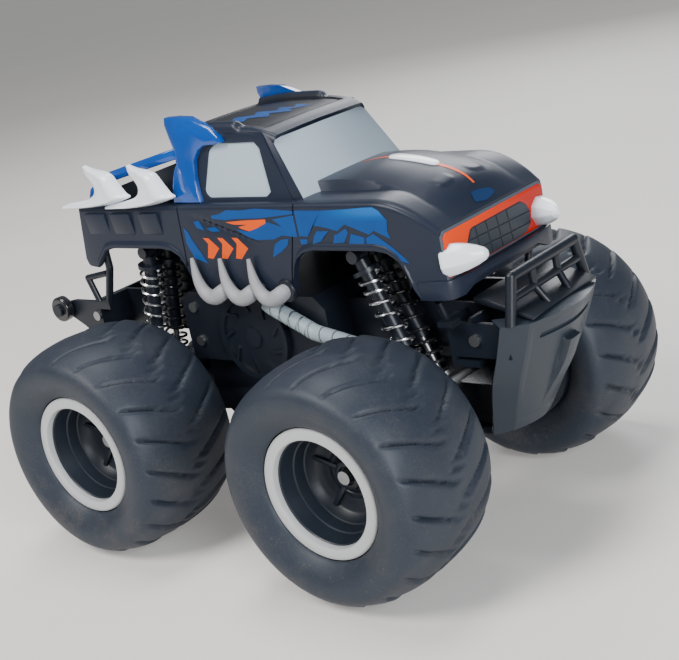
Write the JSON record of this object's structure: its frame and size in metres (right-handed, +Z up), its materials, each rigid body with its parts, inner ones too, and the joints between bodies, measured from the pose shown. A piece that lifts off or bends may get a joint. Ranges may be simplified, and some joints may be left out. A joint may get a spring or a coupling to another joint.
{
  "type": "radio controlled monster truck toy",
  "caption": "Battery-powered toy monster truck with balloon tyres, coil-over suspension, steered front wheels, rear gear drive, bull bar and wheelie wheels.",
  "frame": {"origin": "on the ground under the truck, midway between the axles", "axes": "+X forward, +Y towards the truck's left side, +Z up"},
  "size_m": [0.308, 0.2202, 0.207],
  "materials": {
    "body_plastic": "satin dark slate",
    "window_plastic": "opaque light blue-grey",
    "blue_plastic": "glossy",
    "black_plastic": "fine texture",
    "orange_plastic": "satin",
    "white_plastic": "glossy",
    "bone_plastic": "satin",
    "grey_plastic": "satin",
    "pipe_plastic": "satin",
    "rim_plastic": "satin",
    "ring_plastic": "satin",
    "tyre_rubber": "dusty",
    "spring_steel": "bright",
    "screw_steel": "zinc plated",
    "shock_plastic": "glossy",
    "gear_plastic": "satin",
    "motor_steel": "plated can",
    "battery_wrap": "shrink wrap",
    "board_green": "solder mask",
    "pinion_brass": "turned"
  },
  "bodies": {
    "chassis": {"body_shell": "body_plastic", "window_panels": "window_plastic", "rollbar_fins": "blue_plastic", "bed_cover": "black_plastic", "grille_panel": "orange_plastic", "grille_mesh": "grey_plastic", "headlight_spikes": "white_plastic", "bed_horns": "white_plastic", "side_tusks": "bone_plastic", "hood_insert": "white_plastic", "hull_tub": "black_plastic", "hull_cover": "black_plastic", "side_discs": "black_plastic", "side_pipes": "pipe_plastic", "front_shock_tower": "black_plastic", "rear_shock_tower": "black_plastic", "suspension_pins": "screw_steel", "battery_pack": "battery_wrap", "battery_door": "black_plastic", "control_board": "board_green", "chassis_screws": "screw_steel", "front_bracket": "black_plastic", "skid_plate": "grey_plastic", "bull_bar": "black_plastic", "rear_bracket": "black_plastic"},
    "left_wheelie": {"left_wheelie_wheel": "shock_plastic"},
    "right_wheelie": {"right_wheelie_wheel": "shock_plastic"},
    "switch_knob": {"power_switch": "grey_plastic"},
    "front_axle": {"front_axle_beam": "black_plastic", "steering_servo": "shock_plastic"},
    "steering_horn": {"servo_horn": "grey_plastic"},
    "steering_link": {"tie_rod": "black_plastic"},
    "left_steering_knuckle": {"left_knuckle": "black_plastic", "left_hub_bolt": "screw_steel"},
    "right_steering_knuckle": {"right_knuckle": "black_plastic", "right_hub_bolt": "screw_steel"},
    "front_left_wheel": {"front_left_tyre": "tyre_rubber", "front_left_rim": "rim_plastic", "front_left_ring": "ring_plastic"},
    "front_right_wheel": {"front_right_tyre": "tyre_rubber", "front_right_rim": "rim_plastic", "front_right_ring": "ring_plastic"},
    "front_shock_uppers": {"front_shock_bodies": "shock_plastic", "front_springs": "spring_steel"},
    "front_shock_lowers": {"front_shock_rods": "shock_plastic"},
    "rear_axle": {"rear_gear_case": "black_plastic", "rear_gear_cover": "black_plastic", "drive_motor": "motor_steel"},
    "motor_rotor": {"motor_pinion": "pinion_brass"},
    "rear_wheelset": {"rear_left_tyre": "tyre_rubber", "rear_right_tyre": "tyre_rubber", "rear_left_rim": "rim_plastic", "rear_right_rim": "rim_plastic", "rear_rings": "ring_plastic", "rear_hub_screws": "screw_steel", "rear_axle_shaft": "screw_steel", "drive_gear": "gear_plastic"},
    "rear_shock_uppers": {"rear_shock_bodies": "shock_plastic", "rear_springs": "spring_steel"},
    "rear_shock_lowers": {"rear_shock_rods": "shock_plastic"}
  },
  "joints": [
    {"name": "front_suspension", "type": "hinge", "parent": "chassis", "child": "front_axle", "pos_m": [0.016, 0, 0.062], "axis": [0, -1, 0], "range_deg": [0, 7], "stiffness_Nm_per_rad": 2, "springref_deg": -8.59},
    {"name": "rear_suspension", "type": "hinge", "parent": "chassis", "child": "rear_axle", "pos_m": [-0.016, 0, 0.062], "axis": [0, 1, 0], "range_deg": [0, 7], "stiffness_Nm_per_rad": 2.2, "springref_deg": -8.59},
    {"name": "left_steering", "type": "hinge", "parent": "front_axle", "child": "left_steering_knuckle", "pos_m": [0.078, 0.052, 0.056], "axis": [0, 0, 1], "range_deg": [-15, 15], "stiffness_Nm_per_rad": 0.3},
    {"name": "right_steering", "type": "hinge", "parent": "front_axle", "child": "right_steering_knuckle", "pos_m": [0.078, -0.052, 0.056], "axis": [0, 0, 1], "range_deg": [-15, 15]},
    {"name": "tie_rod_slide", "type": "slide", "parent": "front_axle", "child": "steering_link", "axis": [0, 1, 0], "range_m": [-0.00414, 0.00414]},
    {"name": "servo_horn_turn", "type": "hinge", "parent": "front_axle", "child": "steering_horn", "pos_m": [0.106, 0, 0.05], "axis": [0, 0, 1], "range_deg": [-20.3, 20.3]},
    {"name": "front_left_wheel_spin", "type": "hinge", "parent": "left_steering_knuckle", "child": "front_left_wheel", "pos_m": [0.078, 0.078, 0.056], "axis": [0, 1, 0], "continuous": true},
    {"name": "front_right_wheel_spin", "type": "hinge", "parent": "right_steering_knuckle", "child": "front_right_wheel", "pos_m": [0.078, -0.078, 0.056], "axis": [0, 1, 0], "continuous": true},
    {"name": "rear_wheels_spin", "type": "hinge", "parent": "rear_axle", "child": "rear_wheelset", "pos_m": [-0.078, 0, 0.056], "axis": [0, 1, 0], "continuous": true},
    {"name": "motor_spin", "type": "hinge", "parent": "rear_axle", "child": "motor_rotor", "pos_m": [-0.09642, 0, 0.0627], "axis": [0, 1, 0], "continuous": true},
    {"name": "left_wheelie_spin", "type": "hinge", "parent": "chassis", "child": "left_wheelie", "pos_m": [-0.147, 0.0416, 0.108], "axis": [0, 1, 0], "continuous": true},
    {"name": "right_wheelie_spin", "type": "hinge", "parent": "chassis", "child": "right_wheelie", "pos_m": [-0.147, -0.0416, 0.108], "axis": [0, 1, 0], "continuous": true},
    {"name": "power_switch_slide", "type": "slide", "parent": "chassis", "child": "switch_knob", "axis": [1, 0, 0], "range_m": [0, 0.0035]},
    {"name": "front_shock_swing", "type": "hinge", "parent": "chassis", "child": "front_shock_uppers", "pos_m": [0.067, 0, 0.14], "axis": [0, -1, 0], "range_deg": [0, 1.61]},
    {"name": "front_shock_stroke", "type": "slide", "parent": "front_shock_uppers", "child": "front_shock_lowers", "axis": [-0.3631, 0, 0.9317], "range_m": [0, 0.00946], "deforming": ["front_springs"]},
    {"name": "rear_shock_swing", "type": "hinge", "parent": "chassis", "child": "rear_shock_uppers", "pos_m": [-0.071, 0, 0.1405], "axis": [0, 1, 0], "range_deg": [-0.203, 0]},
    {"name": "rear_shock_stroke", "type": "slide", "parent": "rear_shock_uppers", "child": "rear_shock_lowers", "axis": [0.1865, 0, 0.9825], "range_m": [0, 0.00849], "deforming": ["rear_springs"]}
  ],
  "couplings": [
    {"joint": "right_steering", "follows": "left_steering", "ratio": 1},
    {"joint": "tie_rod_slide", "follows": "left_steering", "m_per_rad": 0.015818},
    {"joint": "servo_horn_turn", "follows": "left_steering", "ratio": -1.3458},
    {"joint": "motor_spin", "follows": "rear_wheels_spin", "ratio": -2.5},
    {"joint": "front_shock_swing", "follows": "front_suspension", "ratio": 0.22243},
    {"joint": "front_shock_stroke", "follows": "front_suspension", "m_per_rad": 0.076609},
    {"joint": "rear_shock_swing", "follows": "rear_suspension", "ratio": -0.021891},
    {"joint": "rear_shock_stroke", "follows": "rear_suspension", "m_per_rad": 0.068674}
  ]
}
